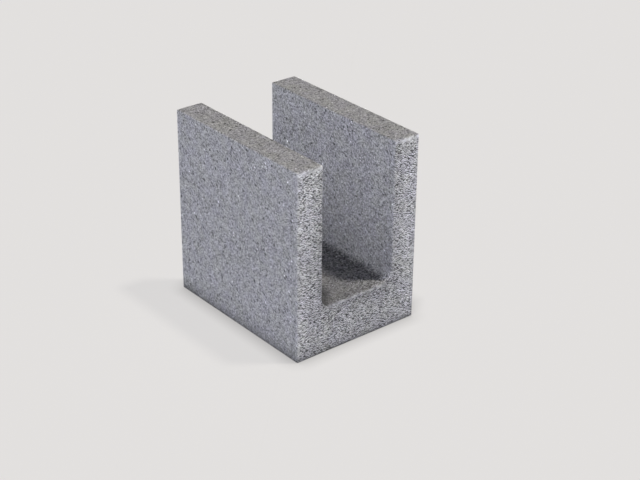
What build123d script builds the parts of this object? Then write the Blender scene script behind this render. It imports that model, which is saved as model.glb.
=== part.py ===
"""A concrete channel block: a thick floor web with two upright walls along its length.

Millimetres. X runs across the block, Y along the channel and Z up. The origin is on the
bed face, under the middle of the block.
"""

from build123d import *

import os

# Overall size of the block as it stands
block_width = 185.0
block_length = 240.0
block_height = 250.0

# The channel that bars and poured concrete lie in
wall_thickness = 37.5
floor_thickness = 63.0
root_radius = 12.0

# Rounding that the mould leaves on every outer edge
arris_radius = 1.5

# Sizes that follow from those above
channel_width = block_width - 2 * wall_thickness
channel_depth = block_height - floor_thickness

with BuildPart() as channel_block:
    # The section across the block, drawn on the upright plane through its middle
    with BuildSketch(Plane.XZ) as section:
        Rectangle(block_width, block_height, align=(Align.CENTER, Align.MIN))
        with Locations((0, block_height)):
            Rectangle(
                channel_width,
                channel_depth,
                align=(Align.CENTER, Align.MAX),
                mode=Mode.SUBTRACT,
            )
        # Corners by height, which is the sketch's own Y: the bed, the channel's roots, the wall tops
        fillet(section.vertices().group_by(Axis.Y)[1], radius=root_radius)
        fillet(section.vertices().group_by(Axis.Y)[0], radius=arris_radius)
        fillet(section.vertices().group_by(Axis.Y)[-1], radius=arris_radius)
    extrude(amount=block_length / 2, both=True)
    # The arris runs round both ends, over the wall tops and through the channel
    end_faces = channel_block.faces().filter_by(Axis.Y)
    fillet(end_faces.edges(), radius=arris_radius)

channel_block.part.label = "channel_block"

os.makedirs("parts", exist_ok=True)
export_step(channel_block.part, "parts/channel_block.step")
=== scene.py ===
"""Looks of a concrete channel block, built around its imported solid.

Metres, Z up, in the solid's own frame: X across the channel, Y along it, the origin on the
bed face under the middle of the block.
"""

import logging
import math
from dataclasses import dataclass
from enum import Enum
from typing import Any

import bmesh
import bpy
import numpy as np
from mathutils import Matrix, Vector
from mathutils.geometry import delaunay_2d_cdt

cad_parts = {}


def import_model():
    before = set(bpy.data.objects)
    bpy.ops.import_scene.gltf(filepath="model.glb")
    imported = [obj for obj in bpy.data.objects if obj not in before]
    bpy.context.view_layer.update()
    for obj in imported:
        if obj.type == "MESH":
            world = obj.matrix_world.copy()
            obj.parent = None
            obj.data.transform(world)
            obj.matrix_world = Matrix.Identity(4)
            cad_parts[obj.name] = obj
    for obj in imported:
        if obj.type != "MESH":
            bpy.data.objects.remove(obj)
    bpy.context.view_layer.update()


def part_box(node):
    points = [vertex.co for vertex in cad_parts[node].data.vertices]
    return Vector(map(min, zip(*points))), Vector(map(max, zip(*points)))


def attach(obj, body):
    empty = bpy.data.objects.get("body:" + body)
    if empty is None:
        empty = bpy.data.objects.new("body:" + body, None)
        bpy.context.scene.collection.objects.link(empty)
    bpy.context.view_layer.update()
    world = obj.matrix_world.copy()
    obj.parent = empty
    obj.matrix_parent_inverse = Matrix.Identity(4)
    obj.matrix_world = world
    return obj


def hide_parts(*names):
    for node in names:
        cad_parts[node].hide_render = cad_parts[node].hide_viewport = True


MM = 0.001
BLOCK_NODE = "channel_block"
ENDWISE_ATTRIBUTE = "endwise"

# The kinds of node used most, and the setting that eases a change at both its ends
MATH = "ShaderNodeMath"
VECTOR_MATH = "ShaderNodeVectorMath"
VECTOR_ROTATE = "ShaderNodeVectorRotate"
MAP_RANGE = "ShaderNodeMapRange"
NOISE = "ShaderNodeTexNoise"
VORONOI = "ShaderNodeTexVoronoi"
SMOOTH = {"interpolation_type": "SMOOTHSTEP"}
# The colours of a mix and its result, by number because their names repeat
MIX_FIRST = 6
MIX_SECOND = 7
MIX_RESULT = 2
# The reach of a pit or chip that isn't there, above nought because a fade divides by it
NO_REACH = 0.001
# Points of the mesh closer than the first are merged, and edges shorter than the second dropped
MERGE_DISTANCE = 1e-6
LEAST_EDGE = 1e-7

Tree = bpy.types.NodeTree
Node = bpy.types.Node
Source = bpy.types.Node | bpy.types.NodeSocket | float
Triple = tuple[float, float, float]

log = logging.getLogger("channel_block")


def linear(colour: str) -> tuple[float, float, float, float]:
    """Turn an sRGB hex colour into linear light.

    Args:
        colour: Six hex digits after a hash sign.

    Returns:
        Red, green, blue and an alpha of one.
    """
    shares = [int(colour[at : at + 2], 16) / 255 for at in (1, 3, 5)]
    light = [s / 12.92 if s <= 0.04045 else ((s + 0.055) / 1.055) ** 2.4 for s in shares]
    return light[0], light[1], light[2], 1.0


def add_node(tree: Tree, kind: str, sockets: dict[Any, Any] | None = None, **settings: Any) -> Node:
    """Add a node with its settings, and fill its inputs with values or links.

    Args:
        tree: The node tree that gets the node.
        kind: The node's type name.
        sockets: Input name or number to a value, to the output socket that feeds it, or to the
            node whose first output does.
        **settings: Properties of the node itself.

    Returns:
        The new node.
    """
    node = tree.nodes.new(kind)
    for name, value in settings.items():
        setattr(node, name, value)
    for key, value in (sockets or {}).items():
        if isinstance(value, bpy.types.Node):
            tree.links.new(value.outputs[0], node.inputs[key])
        elif isinstance(value, bpy.types.NodeSocket):
            tree.links.new(value, node.inputs[key])
        else:
            node.inputs[key].default_value = value
    return node


def product(tree: Tree, *shares: Source) -> Source:
    """Multiply a row of shares in a tree.

    Args:
        tree: The tree that they stand in.
        *shares: What is multiplied, from first to last.

    Returns:
        The whole row's product.
    """
    whole, *others = shares
    for share in others:
        whole = add_node(tree, MATH, {0: whole, 1: share}, operation="MULTIPLY")
    return whole


@dataclass(frozen=True)
class Fade:
    """A change from one value to another between two places, level before and after."""

    start: Source = 0.0
    end: Source = 1.0
    low: Source = 0.0
    high: Source = 1.0

    def over(self, place: Source) -> dict[str, Source]:
        """Give the Map Range inputs that make this change over a place."""
        return {
            "Value": place,
            "From Min": self.start,
            "From Max": self.end,
            "To Min": self.low,
            "To Max": self.high,
        }


class Stretch(Enum):
    """The kinds of flat stretch in the block's section, each with its cell size in the mesh."""

    BED = 8.0 * MM
    FACE = 2.4 * MM
    TOP = 2.2 * MM


@dataclass(frozen=True)
class ChannelSection:
    """The sizes of the block that its painted shade follows, halves being from its middle."""

    half_block: float
    half_channel: float
    half_length: float
    height: float
    floor: float
    root_radius: float


@dataclass(frozen=True)
class SkinPlace:
    """Where a point of the skin lies, as nodes and sockets of a material's tree.

    Distances are in metres, but past_root is past_wall in root radii. Endwise and inside are
    shares: of facing along the block, and of lying in the channel.
    """

    tree: Tree
    point: Source
    shaken: Source
    sand: Source
    endwise: Source
    inside: Source
    across: Source
    along: Source
    height: Source
    from_end: Source
    from_side: Source
    from_left: Source
    from_right: Source
    past_wall: Source
    past_root: Source
    below_floor: Source
    below_top: Source
    outside_channel: Source

    def by_face(self, sides: Source, ends: Source) -> Node:
        """Give one value on the sides and another on the ends."""
        return add_node(self.tree, MAP_RANGE, Fade(low=sides, high=ends).over(self.endwise))

    def fall(self, away: Source, reach: Source) -> Node:
        """Give e to the power of a distance over a reach, which falls off where their signs differ."""
        reaches = add_node(self.tree, MATH, {0: away, 1: reach}, operation="DIVIDE")
        return add_node(self.tree, MATH, {0: reaches}, operation="EXPONENT")


@dataclass(frozen=True)
class Pits:
    """Small hollows of an open skin, one in each of some cells of a lattice.

    A cell is as wide, as deep into the block and as high as its three sizes, and its draw from
    nought to one gives its pit's reach. The mesh and the finish lay out the ends' pits alike, so
    that the dark of a pit lies in its hollow.
    """

    cell: Triple
    reach: Fade
    flat_share: float = 0.35

    def hollow(self, tree: Tree, point: Source) -> Node:
        """Lay out the pits in a tree.

        Args:
            tree: The tree of a material or of a mesh.
            point: What gives the place.

        Returns:
            A node that is nought on the flat and one at the bottom of a pit.
        """
        laid = add_node(tree, VECTOR_MATH, {0: point, 1: self.cell}, operation="DIVIDE")
        cell = add_node(tree, VORONOI, {"Vector": laid, "Scale": 1.0})
        draw = add_node(tree, "ShaderNodeSeparateXYZ", {"Vector": cell.outputs["Color"]})
        reach = add_node(tree, MAP_RANGE, self.reach.over(draw))
        flat = product(tree, reach, self.flat_share)
        return add_node(tree, MAP_RANGE, Fade(reach, flat).over(cell), **SMOOTH)


@dataclass(frozen=True)
class Grains:
    """Grains of sand side by side, each its own grey, with dark gaps between them.

    A grain is as wide, as deep into the block and as high as its three sizes. Its dark gaps are partly the
    cement's and partly painted shade; with a shading lift, a gap just under a grain gets painted shade and a
    grain's top edge a painted highlight, as if lit from above.
    """

    cell: Triple
    gap: Fade
    tone: Fade
    spread: float
    palest: float = 4.0
    shading_lift: float = 0.0
    painted_relief_shade: float = 0.0

    def cells(self, tree: Tree, point: Source) -> tuple[Node, Node]:
        """Lay out the grains in a material's tree.

        Args:
            tree: The material's tree.
            point: What gives the place.

        Returns:
            The lattice of grains, and a node that is nought on a grain and one in a gap.
        """
        laid = add_node(tree, VECTOR_MATH, {0: point, 1: self.cell}, operation="DIVIDE")
        grain = add_node(tree, VORONOI, {"Vector": laid, "Scale": 1.0})
        return grain, add_node(tree, MAP_RANGE, self.gap.over(grain), **SMOOTH)

    def lay(self, tree: Tree, point: Source) -> tuple[Node, Node]:
        """Shade the grains in a material's tree.

        Args:
            tree: The material's tree.
            point: What gives the place.

        Returns:
            The grey that the grains multiply by, and the gaps between them.
        """
        grain, gap = self.cells(tree, point)
        draw = add_node(tree, "ShaderNodeSeparateColor", {"Color": grain.outputs["Color"]})
        own = Fade(low=1.0 - self.spread, high=1.0 + self.spread)
        tones = [add_node(tree, MAP_RANGE, self.tone.over(gap)), add_node(tree, MAP_RANGE, own.over(draw))]
        # Painted light and shade from above: darker in a gap just under a grain, paler on a grain's top edge
        if self.shading_lift:
            above = add_node(tree, VECTOR_MATH, {0: point, 1: (0.0, 0.0, self.shading_lift)}, operation="ADD")
            _, gap_above = self.cells(tree, above)
            under = add_node(tree, MATH, {0: gap, 1: gap_above}, operation="SUBTRACT")
            shade = {0: under, 1: -self.painted_relief_shade, 2: 1.0}
            tones.append(add_node(tree, MATH, shade, operation="MULTIPLY_ADD"))
        grey = product(tree, *tones)
        return add_node(tree, MATH, {0: grey, 1: self.palest}, operation="MINIMUM"), gap


@dataclass(frozen=True)
class Grit:
    """What grains and pits do to a face: the grey that they multiply by, and their height."""

    grey: Source
    height: Node


@dataclass(frozen=True)
class Skin:
    """The close look of a kind of face: its grains, its pits and how far it mottles."""

    grains: Grains
    pits: Pits
    gap_depth: float
    pit_shade: float
    pit_depth: float
    mottle_swing: float

    def lay(self, tree: Tree, grain_point: Source, pit_point: Source) -> Grit:
        """Lay out the grains and pits in a material's tree.

        Args:
            tree: The material's tree.
            grain_point: What gives the place for the grains.
            pit_point: What gives it for the pits.

        Returns:
            Their grey and their height.
        """
        grain_grey, gap = self.grains.lay(tree, grain_point)
        pit = self.pits.hollow(tree, pit_point)
        # A pit's dark is partly its own and partly painted shade in its hollow
        pit_grey = add_node(tree, MAP_RANGE, Fade(low=1.0, high=self.pit_shade).over(pit))
        # Heights lie round the grains' mean, so that two skins meet level
        half = self.gap_depth / 2
        height = add_node(tree, MAP_RANGE, Fade(low=half, high=-half).over(gap))
        height = add_node(tree, MATH, {0: pit, 1: -self.pit_depth, 2: height}, operation="MULTIPLY_ADD")
        return Grit(product(tree, grain_grey, pit_grey), height)


# The sides were pressed close against the mould
SIDES = Skin(
    grains=Grains(
        cell=(1.25 * MM, 1.25 * MM, 1.25 * MM),
        gap=Fade(0.4, 0.9),
        tone=Fade(low=1.12, high=0.66),
        spread=0.6,
    ),
    pits=Pits(cell=(3.7 * MM, 3.7 * MM, 3.7 * MM), reach=Fade(0.68, 1.0, NO_REACH, 0.6)),
    gap_depth=0.12 * MM,
    pit_shade=0.12,
    pit_depth=0.3 * MM,
    mottle_swing=0.05,
)
# The ends were struck off, which left them open, with flat grains; their gaps and pits carry painted shade,
# and their grains are painted pale above and dark below
ENDS = Skin(
    grains=Grains(
        cell=(2.9 * MM, 50.0 * MM, 1.06 * MM),
        gap=Fade(0.3, 0.82),
        tone=Fade(low=1.72, high=0.05),
        spread=0.1,
        palest=2.3,
        shading_lift=0.9 * MM,
        painted_relief_shade=0.98,
    ),
    pits=Pits(cell=(5.5 * MM, 50.0 * MM, 2.0 * MM), reach=Fade(0.47, 1.0, NO_REACH, 0.55)),
    gap_depth=0.15 * MM,
    pit_shade=0.1,
    pit_depth=0.3 * MM,
    mottle_swing=0.26,
)


@dataclass(frozen=True)
class Blotch:
    """A soft patch of the front end, paler than the concrete round it or, below nought, darker."""

    across: float
    height: float
    half_width: float
    half_height: float
    gain: float


@dataclass(frozen=True)
class ConcreteFinish:
    """Pressed concrete: sand and small stones in grey cement, with an open, gritty skin.

    To the eye it is a cool grey, salted with paler and darker grains of sand about as wide as they are in
    such a mix, with small dark pits and a dull gloss. Its ends, where the mould was drawn off, are rougher
    than its sides, and their grains lie flat. Its colour also carries painted shade in the channel, round
    the channel's mouth and low down, a painted shadow of the left wall on the channel floor, and painted
    highlights along the arrises.
    """

    cement: str = "#a2a2a9"
    cement_olive: str = "#a3a4a5"
    olive_size: float = 16.0 * MM
    olive_share: Fade = Fade(0.35, 0.65)
    shake_size: float = 3.5 * MM
    shake_reach: float = 2.6 * MM
    sand_slant: float = -0.785
    sand_squeeze: Triple = (1.0, 0.7, 1.25)
    sand_turn: Triple = (0.5, 0.6, 0.7)
    mottle_size: float = 7.0 * MM
    mottle_range: Fade = Fade(0.3, 0.7, -1.0, 1.0)
    chip_spacing: float = 3.8 * MM
    chip_reach: Fade = Fade(0.84, 1.0, NO_REACH, 0.45)
    chip_gain: float = 2.9
    # Painted shade at the foot, and on the ends darker lower down
    foot_height_sides: float = 10.0 * MM
    foot_height_ends: float = 4.5 * MM
    foot_shade: float = 0.79
    low_end_shade_height: float = 95.0 * MM
    low_end_shade: float = 0.36
    # Painted shade on the ends round the channel's mouth, from under its floor to beside its walls
    mouth_reach: float = 14.0 * MM
    mouth_shade: Fade = Fade(-6.0 * MM, 0.0, 0.5, 0.3)
    highlight_lifts_mouth_shade: float = 0.3
    # Painted shade in the channel, on its floor and walls and in its roots, and a painted shadow of the left
    # wall on its floor
    channel_lip: Fade = Fade(4.0 * MM, 1.5 * MM)
    channel_reach: float = 123.0 * MM
    channel_shade: Fade = Fade(-1.0, 0.0, 0.455, 0.55)
    channel_deepening: Fade = Fade(35.0 * MM, 85.0 * MM, 1.0, 1.16)
    root_shade: Fade = Fade(-7.5 * MM, 0.0, 0.0, 0.5)
    root_side: Fade = Fade(-1.3, -0.6)
    low_channel: Fade = Fade(-18.0 * MM, -6.0 * MM)
    lit_mouth: Fade = Fade(18.0 * MM, 6.0 * MM, 0.0, 0.55)
    lit_right_root: Fade = Fade(27.0 * MM, 10.0 * MM)
    left_shadow_reach: Fade = Fade(0.0, 28.0 * MM, 19.0 * MM, 42.0 * MM)
    left_shadow_softness: float = 17.0 * MM
    left_shadow_depth: float = 0.6
    # Powers that deepen the grain, on the floor more towards the right
    wall_power: float = 1.12
    floor_power: Fade = Fade(55.0 * MM, 22.0 * MM, 1.2, 2.2)
    floor_start: float = -5.0 * MM
    floor_end: float = -1.0 * MM
    # Painted highlight bands under the upper arrises, told in reaches below them
    highlight_wall_reach: float = 3.0 * MM
    highlight_floor_reach: float = 2.0 * MM
    highlight_band: Fade = Fade(2.4, 0.8)
    highlight_crown: Fade = Fade(0.0, 0.5, 0.1, 1.0)
    highlight_floor: Fade = Fade(-0.5, -1.2)
    highlight_share: Fade = Fade(0.35, 0.55, 0.25, 0.95)
    highlight_tone: float = 1.72
    # Upright arrises of the ends and the sides: worn to an even grain, and painted highlights
    worn_share: Fade = Fade(7.0 * MM, 0.0, 0.0, 0.4)
    worn_tone: float = 1.0
    arris_highlight: Fade = Fade(13.0 * MM, 0.0, 0.0, 0.1)
    rim_highlight: Fade = Fade(3.5 * MM, 0.0, 0.0, 0.22)
    mouth_arris_highlight: Fade = Fade(3.5 * MM, 0.0, 0.0, 0.1)
    blotches: tuple[Blotch, ...] = (
        Blotch(-72.0 * MM, 128.0 * MM, 40.0 * MM, 55.0 * MM, -0.12),
        Blotch(74.0 * MM, 110.0 * MM, 30.0 * MM, 130.0 * MM, 0.05),
        Blotch(-92.0 * MM, 30.0 * MM, 36.0 * MM, 45.0 * MM, 0.15),
        Blotch(92.0 * MM, 30.0 * MM, 32.0 * MM, 45.0 * MM, 0.17),
    )
    roughness: Fade = Fade(low=0.55, high=0.75)
    ior: float = 1.5

    def place(self, tree: Tree, section: ChannelSection) -> SkinPlace:
        """Work out where a point of the skin lies.

        Args:
            tree: The material's tree.
            section: The block's section.

        Returns:
            The nodes and sockets that tell it.
        """
        point = add_node(tree, "ShaderNodeTexCoord").outputs["Object"]
        # Places are shaken before grains are laid out on them, so that no grain is regular
        shake = add_node(tree, NOISE, {"Vector": point, "Scale": 1 / self.shake_size, "Detail": 1.0})
        middle = (0.5, 0.5, 0.5)
        shake = add_node(tree, VECTOR_MATH, {0: shake.outputs["Color"], 1: middle}, operation="SUBTRACT")
        shake = add_node(tree, VECTOR_MATH, {0: shake, "Scale": self.shake_reach}, operation="SCALE")
        shaken = add_node(tree, VECTOR_MATH, {0: point, 1: shake}, operation="ADD")
        # The sides' sand lies aslant, drawn forwards and down by the mould
        slant = {"Vector": shaken, "Angle": self.sand_slant}
        sand = add_node(tree, VECTOR_ROTATE, slant, rotation_type="X_AXIS")
        sand = add_node(tree, VECTOR_MATH, {0: sand, 1: self.sand_squeeze}, operation="MULTIPLY")
        # Its lattice is turned, so that no face cuts along it
        turn = {"Vector": sand, "Rotation": self.sand_turn}
        sand = add_node(tree, VECTOR_ROTATE, turn, rotation_type="EULER_XYZ")
        endwise = add_node(tree, "ShaderNodeAttribute", attribute_name=ENDWISE_ATTRIBUTE).outputs["Fac"]
        across, along, height = add_node(tree, "ShaderNodeSeparateXYZ", {"Vector": point}).outputs
        aside, endward = [add_node(tree, MATH, {0: axis}, operation="ABSOLUTE") for axis in (across, along)]
        differences = {
            "from_end": (section.half_length, endward),
            "from_side": (section.half_block, aside),
            "from_left": (across, -section.half_channel),
            "from_right": (section.half_channel, across),
            "past_wall": (aside, section.half_channel),
            "below_floor": (section.floor, height),
            "below_top": (section.height, height),
        }
        distances = {
            name: add_node(tree, MATH, {0: whole, 1: less}, operation="SUBTRACT")
            for name, (whole, less) in differences.items()
        }
        past_wall = distances["past_wall"]
        past_root = add_node(tree, MATH, {0: past_wall, 1: section.root_radius}, operation="DIVIDE")
        below_floor = distances["below_floor"]
        outward = add_node(tree, "ShaderNodeCombineXYZ", {"X": past_wall, "Y": below_floor})
        outward = add_node(tree, VECTOR_MATH, {0: outward, 1: (0.0, 0.0, 0.0)}, operation="MAXIMUM")
        outside = add_node(tree, VECTOR_MATH, {0: outward}, operation="LENGTH").outputs["Value"]
        inside = add_node(tree, MAP_RANGE, self.channel_lip.over(outside))
        return SkinPlace(
            tree=tree,
            point=point,
            shaken=shaken,
            sand=sand,
            endwise=endwise,
            inside=add_node(tree, MAP_RANGE, Fade(low=inside, high=0.0).over(endwise)),
            across=across,
            along=along,
            height=height,
            past_root=past_root,
            outside_channel=outside,
            **distances,
        )

    def chips(self, place: SkinPlace) -> Node:
        """Salt the sides with pale stone chips, fewer and larger than the sand.

        Args:
            place: Where a point of the skin lies.

        Returns:
            The grey that the chips multiply by.
        """
        tree = place.tree
        chip = add_node(tree, VORONOI, {"Vector": place.sand, "Scale": 1 / self.chip_spacing})
        draw = add_node(tree, "ShaderNodeSeparateColor", {"Color": chip.outputs["Color"]})
        reach = add_node(tree, MAP_RANGE, self.chip_reach.over(draw.outputs["Blue"]))
        grey = add_node(tree, MAP_RANGE, Fade(reach, 0.0, 1.0, self.chip_gain).over(chip), **SMOOTH)
        return place.by_face(grey, 1.0)

    def painted_foot_shade(self, place: SkinPlace) -> list[Node]:
        """Paint shade on the foot, and on the ends more towards it.

        Args:
            place: Where a point of the skin lies.

        Returns:
            The greys that the painted shade multiplies by.
        """
        foot_reach = place.by_face(-self.foot_height_sides, -self.foot_height_ends)
        foot = place.fall(place.height, foot_reach)
        low_end = place.by_face(0.0, place.fall(place.height, -self.low_end_shade_height))
        return [
            add_node(place.tree, MATH, {0: share, 1: -shade, 2: 1.0}, operation="MULTIPLY_ADD")
            for share, shade in ((foot, self.foot_shade), (low_end, self.low_end_shade))
        ]

    def painted_channel_shade(self, place: SkinPlace, edge_highlight: Source) -> list[Node]:
        """Paint shade in the channel, its roots most, and on the ends round its mouth, and a painted shadow
        of the left wall on its floor.

        Args:
            place: Where a point of the skin lies.
            edge_highlight: How far a point takes the painted edge highlight.

        Returns:
            The greys that the painted shade and shadow multiply by.
        """
        tree = place.tree
        # Painted shade on the ends round the mouth, less under the painted edge highlight
        unhighlit = {0: edge_highlight, 1: -self.highlight_lifts_mouth_shade, 2: 1.0}
        mouth = product(
            tree,
            place.fall(place.outside_channel, -self.mouth_reach),
            add_node(tree, MAP_RANGE, self.mouth_shade.over(place.past_wall)),
            add_node(tree, MATH, unhighlit, operation="MULTIPLY_ADD"),
        )
        low = add_node(tree, MAP_RANGE, self.low_channel.over(place.below_floor), **SMOOTH)
        # Near the ends the right root's painted shade thins, as if light reached in at the mouths
        mouth_light = product(
            tree,
            add_node(tree, MAP_RANGE, self.lit_mouth.over(place.from_end), **SMOOTH),
            add_node(tree, MAP_RANGE, self.lit_right_root.over(place.from_right), **SMOOTH),
            low,
        )
        unlit_share = add_node(tree, MATH, {0: 1.0, 1: mouth_light}, operation="SUBTRACT")
        # Painted shade: more on the walls than on the floor, less upwards, and more further in
        channel = product(
            tree,
            place.fall(place.below_floor, self.channel_reach),
            add_node(tree, MAP_RANGE, self.channel_shade.over(place.past_root)),
            add_node(tree, MAP_RANGE, self.channel_deepening.over(place.from_end)),
            unlit_share,
        )
        # Painted shade lies deepest in the roots
        root = product(
            tree,
            add_node(tree, MAP_RANGE, self.root_shade.over(place.below_floor), **SMOOTH),
            add_node(tree, MAP_RANGE, self.root_side.over(place.past_root), **SMOOTH),
            unlit_share,
        )
        # A painted shadow of the left wall lies across the floor beside it, wider further in
        left_shadow_edge = add_node(tree, MAP_RANGE, self.left_shadow_reach.over(place.from_end))
        left_shadow_full = add_node(tree, MATH, {0: left_shadow_edge, 1: self.left_shadow_softness}, operation="SUBTRACT")
        left_shadow_fade = Fade(left_shadow_edge, left_shadow_full, 0.0, self.left_shadow_depth)
        left_shadow = product(tree, add_node(tree, MAP_RANGE, left_shadow_fade.over(place.from_left), **SMOOTH), low)
        stains = [place.by_face(0.0, mouth)]
        stains += [product(tree, share, place.inside) for share in (channel, root, left_shadow)]
        return [add_node(tree, MATH, {0: 1.0, 1: stain}, operation="SUBTRACT") for stain in stains]

    def roughened(self, place: SkinPlace, grey: Node) -> Node:
        """Deepen the grain's greys in the channel, on its floor most.

        Args:
            place: Where a point of the skin lies.
            grey: The grey of the grains.

        Returns:
            The deepened grey.
        """
        tree = place.tree
        floor_power = add_node(tree, MAP_RANGE, self.floor_power.over(place.from_right))
        rise = Fade(self.floor_start, self.floor_end, self.wall_power, floor_power)
        channel_power = add_node(tree, MAP_RANGE, rise.over(place.below_floor))
        power = add_node(tree, MAP_RANGE, Fade(low=1.0, high=channel_power).over(place.inside))
        return add_node(tree, MATH, {0: grey, 1: place.by_face(power, 1.0)}, operation="POWER")

    def arris_highlights_and_blotches(self, place: SkinPlace) -> list[Node]:
        """Paint highlights on the upright arrises and the ends towards them, and blotch the front.

        Args:
            place: Where a point of the skin lies.

        Returns:
            The greys that these multiply by.
        """
        tree = place.tree
        # Painted highlight on the ends towards their outer arrises
        arris = add_node(tree, MAP_RANGE, self.arris_highlight.over(place.from_side))
        # Painted highlights on the sides' arrises by the ends, and on the ends beside the channel's mouth
        rim = add_node(tree, MAP_RANGE, self.rim_highlight.over(place.from_end))
        mouth = add_node(tree, MATH, {0: place.past_wall}, operation="ABSOLUTE")
        mouth = add_node(tree, MAP_RANGE, self.mouth_arris_highlight.over(mouth))
        gains = [place.by_face(0.0, arris), place.by_face(rim, 0.0), place.by_face(0.0, mouth)]
        front = add_node(tree, MATH, {0: place.along, 1: 0.0}, operation="LESS_THAN")
        front = place.by_face(0.0, front)
        spot = add_node(tree, "ShaderNodeCombineXYZ", {"X": place.across, "Y": place.height})
        for blotch in self.blotches:
            centre = (blotch.across, blotch.height, 0.0)
            halves = (blotch.half_width, blotch.half_height, 1.0)
            away = add_node(tree, VECTOR_MATH, {0: spot, 1: centre}, operation="SUBTRACT")
            away = add_node(tree, VECTOR_MATH, {0: away, 1: halves}, operation="DIVIDE")
            reach = add_node(tree, VECTOR_MATH, {0: away}, operation="LENGTH").outputs["Value"]
            gain = add_node(tree, MAP_RANGE, Fade(1.0, 0.0, 0.0, blotch.gain).over(reach), **SMOOTH)
            gains.append(product(tree, gain, front))
        return [add_node(tree, MATH, {0: gain, 1: 1.0}, operation="ADD") for gain in gains]

    def painted_edge_highlight(self, place: SkinPlace, mottle: Node) -> Source:
        """Paint a highlight along the ends' upper arrises, on the walls and the floor, with the grain evened
        out there.

        Args:
            place: Where a point of the skin lies.
            mottle: The noise that the mottling follows, which breaks the highlight lines up.

        Returns:
            How far a point takes the painted highlight, from nought to one.
        """
        tree = place.tree
        over_wall = add_node(tree, MATH, {0: place.past_wall, 1: 0.0}, operation="GREATER_THAN")
        below, reach = [
            add_node(tree, MAP_RANGE, Fade(low=floor, high=wall).over(over_wall))
            for floor, wall in (
                (place.below_floor, place.below_top),
                (self.highlight_floor_reach, self.highlight_wall_reach),
            )
        ]
        below = add_node(tree, MATH, {0: below, 1: reach}, operation="DIVIDE")
        straight = add_node(tree, MAP_RANGE, self.highlight_floor.over(place.past_root))
        return product(
            tree,
            add_node(tree, MAP_RANGE, self.highlight_band.over(below), **SMOOTH),
            add_node(tree, MAP_RANGE, self.highlight_crown.over(below)),
            add_node(tree, MATH, {0: straight, 1: over_wall}, operation="MAXIMUM"),
            place.endwise,
            add_node(tree, MAP_RANGE, self.highlight_share.over(mottle)),
        )

    def build(self, section: ChannelSection) -> bpy.types.Material:
        """Make the concrete's material.

        Args:
            section: The block's section, which the painted shade follows.

        Returns:
            The finished material.
        """
        material = bpy.data.materials.new("pressed concrete")
        material.use_nodes = True
        tree = material.node_tree
        tree.nodes.clear()
        place = self.place(tree, section)
        sides = SIDES.lay(tree, place.sand, place.sand)
        ends = ENDS.lay(tree, place.shaken, place.point)
        # Soft mottling where the mix was wetter or drier
        mottle = add_node(tree, NOISE, {"Vector": place.point, "Scale": 1 / self.mottle_size, "Detail": 2.0})
        grey = add_node(tree, MAP_RANGE, self.mottle_range.over(mottle))
        swing = place.by_face(SIDES.mottle_swing, ENDS.mottle_swing)
        grey = add_node(tree, MATH, {0: grey, 1: swing, 2: 1.0}, operation="MULTIPLY_ADD")
        # Worn places lose their grain to an even tone, and the painted edge highlight to an even pale one
        worn = add_node(tree, MAP_RANGE, self.worn_share.over(place.from_side))
        edge_highlight = self.painted_edge_highlight(place, mottle)
        sand = self.roughened(place, place.by_face(sides.grey, ends.grey))
        for share, tone in ((place.by_face(0.0, worn), self.worn_tone), (edge_highlight, self.highlight_tone)):
            sand = add_node(tree, MAP_RANGE, Fade(low=sand, high=tone).over(share))
        layers = [sand, self.chips(place)] + self.painted_foot_shade(place) + self.arris_highlights_and_blotches(place)
        grey = product(tree, grey, *layers, *self.painted_channel_shade(place, edge_highlight))

        # Cement that dried a little bluer or more olive from place to place
        olive = add_node(tree, NOISE, {"Vector": place.point, "Scale": 1 / self.olive_size, "Detail": 3.0})
        olive_share = add_node(tree, MAP_RANGE, self.olive_share.over(olive))
        cements = {MIX_FIRST: linear(self.cement), MIX_SECOND: linear(self.cement_olive)}
        cement = add_node(tree, "ShaderNodeMix", {"Factor": olive_share, **cements}, data_type="RGBA")
        tint = cement.outputs[MIX_RESULT]
        colour = add_node(tree, VECTOR_MATH, {0: tint, "Scale": grey}, operation="SCALE")
        # Relief past what the mesh holds
        height = place.by_face(sides.height, ends.height)
        bump = add_node(tree, "ShaderNodeBump", {"Distance": 1.0, "Height": height})
        roughness = add_node(tree, MAP_RANGE, self.roughness.over(mottle))
        shader = add_node(
            tree,
            "ShaderNodeBsdfPrincipled",
            {"Base Color": colour, "Roughness": roughness, "IOR": self.ior, "Normal": bump},
        )
        add_node(tree, "ShaderNodeOutputMaterial", {"Surface": shader})
        return material


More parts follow.
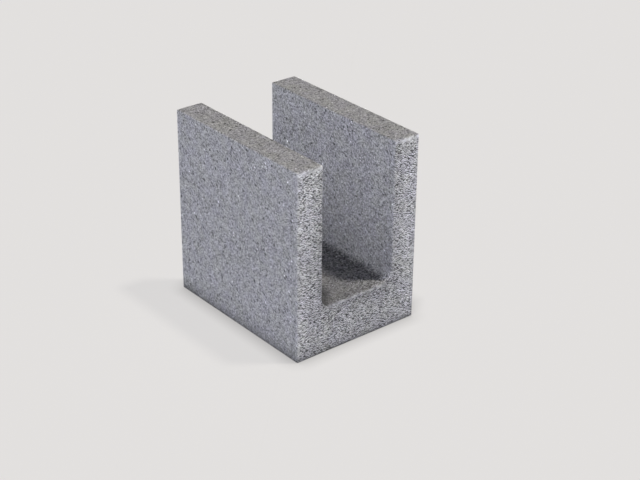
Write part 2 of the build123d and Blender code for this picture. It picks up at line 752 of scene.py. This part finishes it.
@dataclass(frozen=True)
class PaleFloorFinish:
    """A pale matt sweep, lit evenly from below, so that it stays one tone round the block.

    Where something stands on it, it darkens softly, more on the side away from the fill lamps.
    """

    colour: str = "#e2e0df"
    matt_share: float = 0.12
    glow_share: float = 0.88
    # Contact shade, from the sides near the fill lamps to the side away from them
    turn_reach: float = 23.0 * MM
    contact_reach: Fade = Fade(low=23.0 * MM, high=47.0 * MM)
    contact_least: Fade = Fade(low=0.42, high=0.0)
    contact_samples: int = 16

    def build(self, far_side: float, front: float) -> bpy.types.Material:
        """Make the floor's material.

        Args:
            far_side: Where along X the side away from the fill lamps starts.
            front: Where along Y the front of the block stands.

        Returns:
            The finished material.
        """
        material = bpy.data.materials.new("pale matt sweep")
        material.use_nodes = True
        tree = material.node_tree
        tree.nodes.clear()
        point = add_node(tree, "ShaderNodeTexCoord").outputs["Object"]
        across, along, _ = add_node(tree, "ShaderNodeSeparateXYZ", {"Vector": point}).outputs
        aside = add_node(tree, MAP_RANGE, Fade(far_side - self.turn_reach, far_side).over(across))
        behind = add_node(tree, MAP_RANGE, Fade(front, front + self.turn_reach).over(along))
        far = product(tree, aside, behind)
        reach = add_node(tree, MAP_RANGE, self.contact_reach.over(far))
        least = add_node(tree, MAP_RANGE, self.contact_least.over(far))
        contact = add_node(
            tree, "ShaderNodeAmbientOcclusion", {"Distance": reach}, samples=self.contact_samples
        )
        shade = add_node(tree, MAP_RANGE, Fade(low=least, high=1.0).over(contact.outputs["AO"]))
        strength = product(tree, shade, self.glow_share)
        glow = add_node(tree, "ShaderNodeEmission", {"Color": linear(self.colour), "Strength": strength})
        grey = (self.matt_share, self.matt_share, self.matt_share, 1.0)
        matt = add_node(tree, "ShaderNodeBsdfDiffuse", {"Color": grey})
        both = add_node(tree, "ShaderNodeAddShader", {0: glow, 1: matt})
        add_node(tree, "ShaderNodeOutputMaterial", {"Surface": both})
        return material


@dataclass(frozen=True)
class Relief:
    """Lumps of the whole skin and pits of the ends, all cut inwards from the moulded shape."""

    lump_size: float = 11.0 * MM
    lump_depth: float = 0.3 * MM
    lump_range: Fade = Fade(0.7, 0.3)
    pit_depth: float = 0.6 * MM
    side_share: float = 0.4
    end_facing: Fade = Fade(0.3, 0.9)

    def tree(self) -> tuple[Tree, dict[str, str]]:
        """Build the Geometry Nodes tree that cuts the relief.

        Returns:
            The tree, and each named input's socket identifier.
        """
        tree = bpy.data.node_groups.new("concrete relief", "GeometryNodeTree")
        tree.interface.new_socket("Geometry", in_out="OUTPUT", socket_type="NodeSocketGeometry")
        identifiers = {}
        for name, kind in (
            ("Geometry", "NodeSocketGeometry"),
            ("Lump Size", "NodeSocketFloat"),
            ("Lump Depth", "NodeSocketFloat"),
            ("Pit Depth", "NodeSocketFloat"),
            ("Side Share", "NodeSocketFloat"),
            ("Material", "NodeSocketMaterial"),
        ):
            socket = tree.interface.new_socket(name, in_out="INPUT", socket_type=kind)
            identifiers[name] = socket.identifier
        given = add_node(tree, "NodeGroupInput").outputs
        point = add_node(tree, "GeometryNodeInputPosition")
        normal = add_node(tree, "GeometryNodeInputNormal")

        # The ends are open and gritty, the other faces closer
        axes = add_node(tree, "ShaderNodeSeparateXYZ", {"Vector": normal})
        facing = add_node(tree, MATH, {0: axes.outputs["Y"]}, operation="ABSOLUTE")
        endwise = add_node(tree, MAP_RANGE, self.end_facing.over(facing))
        kept = add_node(
            tree,
            "GeometryNodeStoreNamedAttribute",
            {"Geometry": given["Geometry"], "Name": ENDWISE_ATTRIBUTE, "Value": endwise},
            data_type="FLOAT",
            domain="POINT",
        )
        lump_scale = add_node(tree, MATH, {0: 1.0, 1: given["Lump Size"]}, operation="DIVIDE")
        lump = add_node(tree, NOISE, {"Vector": point, "Scale": lump_scale, "Detail": 3.0})
        lump_hollow = add_node(tree, MAP_RANGE, self.lump_range.over(lump))
        lump_share = add_node(tree, MAP_RANGE, Fade(low=given["Side Share"], high=1.0).over(endwise))
        lump_cut = product(tree, lump_hollow, lump_share, given["Lump Depth"])
        pit_cut = product(tree, ENDS.pits.hollow(tree, point), endwise, given["Pit Depth"])
        depth = add_node(tree, MATH, {0: pit_cut, 1: lump_cut}, operation="ADD")
        inward = product(tree, depth, -1.0)
        offset = add_node(tree, VECTOR_MATH, {0: normal, "Scale": inward}, operation="SCALE")
        cut = add_node(tree, "GeometryNodeSetPosition", {"Geometry": kept, "Offset": offset})
        smooth = add_node(tree, "GeometryNodeSetShadeSmooth", {"Geometry": cut})
        whole = add_node(tree, "GeometryNodeRealizeInstances", {"Geometry": smooth})
        dress = {"Geometry": whole, "Material": given["Material"]}
        dressed = add_node(tree, "GeometryNodeSetMaterial", dress)
        add_node(tree, "NodeGroupOutput", {"Geometry": dressed})
        return tree, identifiers

    def cut(self, piece: bpy.types.Object, material: bpy.types.Material) -> None:
        """Cut the relief into a piece and leave it a plain mesh.

        Args:
            piece: The object whose mesh is cut.
            material: The finish that every face gets.
        """
        tree, identifiers = self.tree()
        modifier = piece.modifiers.new("relief", "NODES")
        modifier.node_group = tree
        for name, value in (
            ("Lump Size", self.lump_size),
            ("Lump Depth", self.lump_depth),
            ("Pit Depth", self.pit_depth),
            ("Side Share", self.side_share),
            ("Material", material),
        ):
            modifier[identifiers[name]] = value
        graph = bpy.context.evaluated_depsgraph_get()
        mesh = bpy.data.meshes.new_from_object(piece.evaluated_get(graph), depsgraph=graph)
        piece.modifiers.remove(modifier)
        piece.data = mesh
        mesh.name = piece.name


@dataclass
class ChannelBlock:
    """The block: a floor web and two walls round an open channel, rounded on every arris."""

    width: float
    length: float
    height: float
    wall: float = 37.5 * MM
    floor: float = 63.0 * MM
    root_radius: float = 12.0 * MM
    arris_radius: float = 1.5 * MM
    row_pitch: float = 6.0 * MM
    end_pitch: float = 0.93 * MM
    end_margin: float = 0.6
    end_jitter: float = 0.2
    arris_cells: int = 3
    root_cells: int = 8
    lattice_seed: int = 7

    def section(self) -> ChannelSection:
        """Give the sizes that the finish follows."""
        return ChannelSection(
            half_block=self.width / 2,
            half_channel=self.width / 2 - self.wall,
            half_length=self.length / 2,
            height=self.height,
            floor=self.floor,
            root_radius=self.root_radius,
        )

    def outline(self) -> tuple[np.ndarray, np.ndarray]:
        """Walk round the section, anticlockwise with X right and Z up.

        Returns:
            Points of the outline, and the outward direction at each.
        """
        half = self.width / 2
        inner = half - self.wall
        arris = (self.arris_radius, self.arris_cells)
        root = (self.root_radius, self.root_cells)
        # Each corner, and the stretch that follows it
        corners = (
            ((-half, 0.0), *arris, Stretch.BED),
            ((half, 0.0), *arris, Stretch.FACE),
            ((half, self.height), *arris, Stretch.TOP),
            ((inner, self.height), *arris, Stretch.FACE),
            ((inner, self.floor), *root, Stretch.FACE),
            ((-inner, self.floor), *root, Stretch.FACE),
            ((-inner, self.height), *arris, Stretch.TOP),
            ((-half, self.height), *arris, Stretch.FACE),
        )
        points: list[np.ndarray] = []
        normals: list[np.ndarray] = []
        for at, (corner, radius, cells, stretch) in enumerate(corners):
            following = corners[(at + 1) % len(corners)]
            nearby = (corners[at - 1][0], corner, following[0])
            before, here, after = (np.array(place) for place in nearby)
            come = (here - before) / np.linalg.norm(here - before)
            go = (after - here) / np.linalg.norm(after - here)
            bulge = math.copysign(1.0, come[0] * go[1] - come[1] * go[0])
            centre = here - come * radius + go * radius
            for step in range(cells + 1):
                turn = math.pi / 2 * step / cells
                away = bulge * (-go * math.cos(turn) + come * math.sin(turn))
                points.append(centre + bulge * radius * away)
                normals.append(away)
            start = here + go * radius
            end = after - go * following[1]
            steps = max(1, round(np.linalg.norm(end - start) / stretch.value))
            outward = np.array((go[1], -go[0]))
            for step in range(1, steps):
                points.append(start + (end - start) * step / steps)
                normals.append(outward)
        return np.array(points), np.array(normals)

    def rows(self) -> tuple[np.ndarray, np.ndarray]:
        """Give each row's place along the block and how far its outline shrinks there."""
        turns = np.linspace(0, math.pi / 2, self.arris_cells + 1)
        flat = self.length / 2 - self.arris_radius
        back = flat + self.arris_radius * np.sin(turns)
        shrink = self.arris_radius * (1 - np.cos(turns))
        steps = round(2 * flat / self.row_pitch)
        middle = np.linspace(-flat, flat, steps + 1)[1:-1]
        places = np.concatenate((-back[::-1], middle, back))
        shrinks = np.concatenate((shrink[::-1], np.zeros(len(middle)), shrink))
        return places, shrinks

    def inside_end(self, points: np.ndarray, margin: float) -> np.ndarray:
        """Tell which points lie on the flat of an end, a margin or more from its edge.

        Args:
            points: Places on the end, as X and Z.
            margin: The least distance to the edge.

        Returns:
            True for each point that lies there.
        """
        keep = self.arris_radius + margin
        half = self.width / 2
        inner = half - self.wall
        side = np.abs(points[:, 0])
        up = points[:, 1]
        inside = (side < half - keep) & (up > keep) & (up < self.height - keep)
        near_root = (side > inner - self.root_radius) & (up < self.floor + self.root_radius)
        inside &= (side > inner + keep) | (up < self.floor - keep) | near_root
        corner = near_root & (side < inner + keep) & (up > self.floor - keep)
        reach = np.hypot(side - inner + self.root_radius, up - self.floor - self.root_radius)
        return inside & (~corner | (reach > self.root_radius + keep))

    def end_mesh(self, edge: np.ndarray) -> tuple[np.ndarray, list[list[int]]]:
        """Fill an end's flat with small triangles.

        Args:
            edge: The flat's edge as X and Z, anticlockwise.

        Returns:
            Points, with the edge's own first, and triangles.
        """
        rise = self.end_pitch * math.sqrt(3) / 2
        columns = np.arange(-self.width / 2, self.width / 2, self.end_pitch)
        levels = np.arange(0.0, self.height, rise)
        across, up = np.meshgrid(columns, levels)
        across = across + (np.arange(len(levels)) % 2)[:, None] * self.end_pitch / 2
        lattice = np.stack((across.ravel(), up.ravel()), axis=1)
        draw = np.random.default_rng(self.lattice_seed)
        jitter = draw.uniform(-self.end_jitter, self.end_jitter, lattice.shape)
        lattice = lattice + jitter * self.end_pitch
        lattice = lattice[self.inside_end(lattice, self.end_pitch * self.end_margin)]
        places = [Vector(point) for point in np.concatenate((edge, lattice))]
        loop = list(range(len(edge)))
        found, _, faces, _, _, _ = delaunay_2d_cdt(places, [], [loop], 1, LEAST_EDGE)
        return np.array([tuple(point) for point in found]), [list(face) for face in faces]

    def body_mesh(self) -> bpy.types.Mesh:
        """Make the moulded shape as one closed mesh, before any relief."""
        points, normals = self.outline()
        places, shrinks = self.rows()
        count = len(points)
        vertices: list[Triple] = []
        faces: list[list[int]] = []
        for place, shrink in zip(places, shrinks):
            vertices.extend((x, place, z) for x, z in points - normals * shrink)
        for row in range(len(places) - 1):
            for at in range(count):
                here = row * count + at
                beside = row * count + (at + 1) % count
                faces.append([here, here + count, beside + count, beside])
        edge = points - normals * shrinks[0]
        apart = np.linalg.norm(edge - np.roll(edge, 1, axis=0), axis=1) > LEAST_EDGE
        found, triangles = self.end_mesh(edge[apart])
        for place, turned in ((places[0], False), (places[-1], True)):
            first = len(vertices)
            vertices.extend((x, place, z) for x, z in found)
            for triangle in triangles:
                order = triangle[::-1] if turned else triangle
                faces.append([first + at for at in order])
        mesh = bpy.data.meshes.new("block_body")
        mesh.from_pydata(vertices, [], faces)
        work = bmesh.new()
        work.from_mesh(mesh)
        bmesh.ops.remove_doubles(work, verts=work.verts, dist=MERGE_DISTANCE)
        bmesh.ops.dissolve_degenerate(work, dist=LEAST_EDGE, edges=work.edges)
        bmesh.ops.recalc_face_normals(work, faces=work.faces)
        work.to_mesh(mesh)
        work.free()
        return mesh

    def build(self, finish: ConcreteFinish, relief: Relief) -> bpy.types.Object:
        """Make the block's visible piece, with its relief and finish.

        Args:
            finish: The concrete that it is made of.
            relief: The lumps and pits of its skin.

        Returns:
            The finished piece.
        """
        piece = bpy.data.objects.new("concrete_block", self.body_mesh())
        bpy.context.scene.collection.objects.link(piece)
        relief.cut(piece, finish.build(self.section()))
        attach(piece, "root")
        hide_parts(BLOCK_NODE)
        return piece


@dataclass
class StudioFloor:
    """The plain pale surface that the block stands on."""

    reach: float = 60.0
    drop: float = 0.05 * MM

    def build(self, finish: PaleFloorFinish, far_side: float, front: float) -> bpy.types.Object:
        """Lay the floor just under the block.

        Args:
            finish: The floor's finish.
            far_side: Where along X the side away from the fill lamps starts.
            front: Where along Y the front of the block stands.

        Returns:
            The floor.
        """
        far = self.reach
        corners = [(x, y, -self.drop) for x, y in ((-far, -far), (far, -far), (far, far), (-far, far))]
        mesh = bpy.data.meshes.new("studio_floor")
        mesh.from_pydata(corners, [], [[0, 1, 2, 3]])
        mesh.materials.append(finish.build(far_side, front))
        floor = bpy.data.objects.new("studio_floor", mesh)
        bpy.context.scene.collection.objects.link(floor)
        # Its glow is for the eye alone, so that it doesn't light the block from below
        floor.visible_diffuse = False
        floor.visible_glossy = False
        return floor


@dataclass(frozen=True)
class StudioLamp:
    """A lamp far enough away that its light is even over the block."""

    name: str
    toward: Triple
    strength: float
    spread_deg: float
    colour: str
    casts_shadow: bool

    def build(self) -> bpy.types.Object:
        """Hang the lamp."""
        data = bpy.data.lights.new(self.name, "SUN")
        data.energy = self.strength
        data.angle = math.radians(self.spread_deg)
        data.color = linear(self.colour)[:3]
        data.use_shadow = self.casts_shadow
        lamp = bpy.data.objects.new(self.name, data)
        lamp.rotation_euler = Vector(self.toward).to_track_quat("Z", "Y").to_euler()
        bpy.context.scene.collection.objects.link(lamp)
        return lamp


# The fills each face one side of the block, so that the key alone draws the grain of its ends
LAMPS = (
    StudioLamp("key_lamp", (0.272, -0.205, 1.0), 1.96, 5.0, "#fff9ef", True),
    StudioLamp("side_fill", (-0.95, 0.3, 0.01), 2.1, 10.0, "#f6f7ff", False),
    StudioLamp("front_fill", (0.12, -0.99, 0.01), 2.16, 10.0, "#fbfbfe", False),
    StudioLamp("back_fill", (0.7, 0.7, -0.2), 1.2, 10.0, "#f6f7ff", False),
)


@dataclass(frozen=True)
class StudioRoom:
    """The dim room round the lamps, and the backdrop that the eye sees past the floor."""

    colour: str = "#f6f7ff"
    strength: float = 0.165
    backdrop: str = "#e2e0df"

    def build(self) -> None:
        """Set the room's own light and how the picture is shown."""
        world = bpy.data.worlds.new("studio room")
        world.use_nodes = True
        tree = world.node_tree
        tree.nodes.clear()
        dim = {"Color": linear(self.colour), "Strength": self.strength}
        room = add_node(tree, "ShaderNodeBackground", dim)
        backdrop = add_node(tree, "ShaderNodeBackground", {"Color": linear(self.backdrop)})
        seen = add_node(tree, "ShaderNodeLightPath").outputs["Is Camera Ray"]
        both = add_node(tree, "ShaderNodeMixShader", {0: seen, 1: room, 2: backdrop})
        add_node(tree, "ShaderNodeOutputWorld", {"Surface": both})
        scene = bpy.context.scene
        scene.world = world
        scene.view_settings.view_transform = "Standard"
        scene.view_settings.look = "None"


@dataclass(frozen=True)
class PhotoCamera:
    """The photograph's viewing place, fitted to the block's corners in its 640 by 480 frame."""

    azimuth_deg: float = -39.3659
    elevation_deg: float = 27.4313
    roll_deg: float = 0.5206
    aim: Triple = (0.014094, -0.030862, 0.096253)
    distance: float = 1.88192
    focal_pixels: float = 1508.864
    frame_width: int = 640
    sensor_width: float = 36.0
    sight: float = 200.0

    def build(self) -> bpy.types.Object:
        """Place the camera and make it the scene's own."""
        turn = math.radians(self.azimuth_deg)
        lift = math.radians(self.elevation_deg)
        roll = math.radians(self.roll_deg)
        back = Vector((math.sin(turn) * math.cos(lift), -math.cos(turn) * math.cos(lift), math.sin(lift)))
        level = Vector((0.0, 0.0, 1.0)).cross(back).normalized()
        above = back.cross(level)
        right = level * math.cos(roll) + above * math.sin(roll)
        up = above * math.cos(roll) - level * math.sin(roll)
        data = bpy.data.cameras.new("photo_camera")
        data.sensor_fit = "HORIZONTAL"
        data.sensor_width = self.sensor_width
        data.lens = self.focal_pixels / self.frame_width * self.sensor_width
        data.clip_end = self.sight
        camera = bpy.data.objects.new("photo_camera", data)
        place = Vector(self.aim) + back * self.distance
        camera.matrix_world = Matrix.Translation(place) @ Matrix((right, up, back)).transposed().to_4x4()
        bpy.context.scene.collection.objects.link(camera)
        bpy.context.scene.camera = camera
        return camera


def main() -> None:
    """Build the block, its floor, the light and the camera, in that order."""
    logging.basicConfig(level=logging.INFO, format="%(name)s: %(message)s")
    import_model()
    low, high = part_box(BLOCK_NODE)
    size = high - low
    block = ChannelBlock(width=size.x, length=size.y, height=size.z)
    piece = block.build(ConcreteFinish(), Relief())
    triangles = sum(len(face.vertices) - 2 for face in piece.data.polygons)
    log.info("%s: %d triangles", piece.name, triangles)
    floor = StudioFloor().build(PaleFloorFinish(), far_side=high.x, front=low.y)
    log.info("%s laid", floor.name)
    for lamp in LAMPS:
        log.info("%s hung", lamp.build().name)
    StudioRoom().build()
    camera = PhotoCamera().build()
    log.info("%s placed", camera.name)


if __name__ == "__main__":
    main()
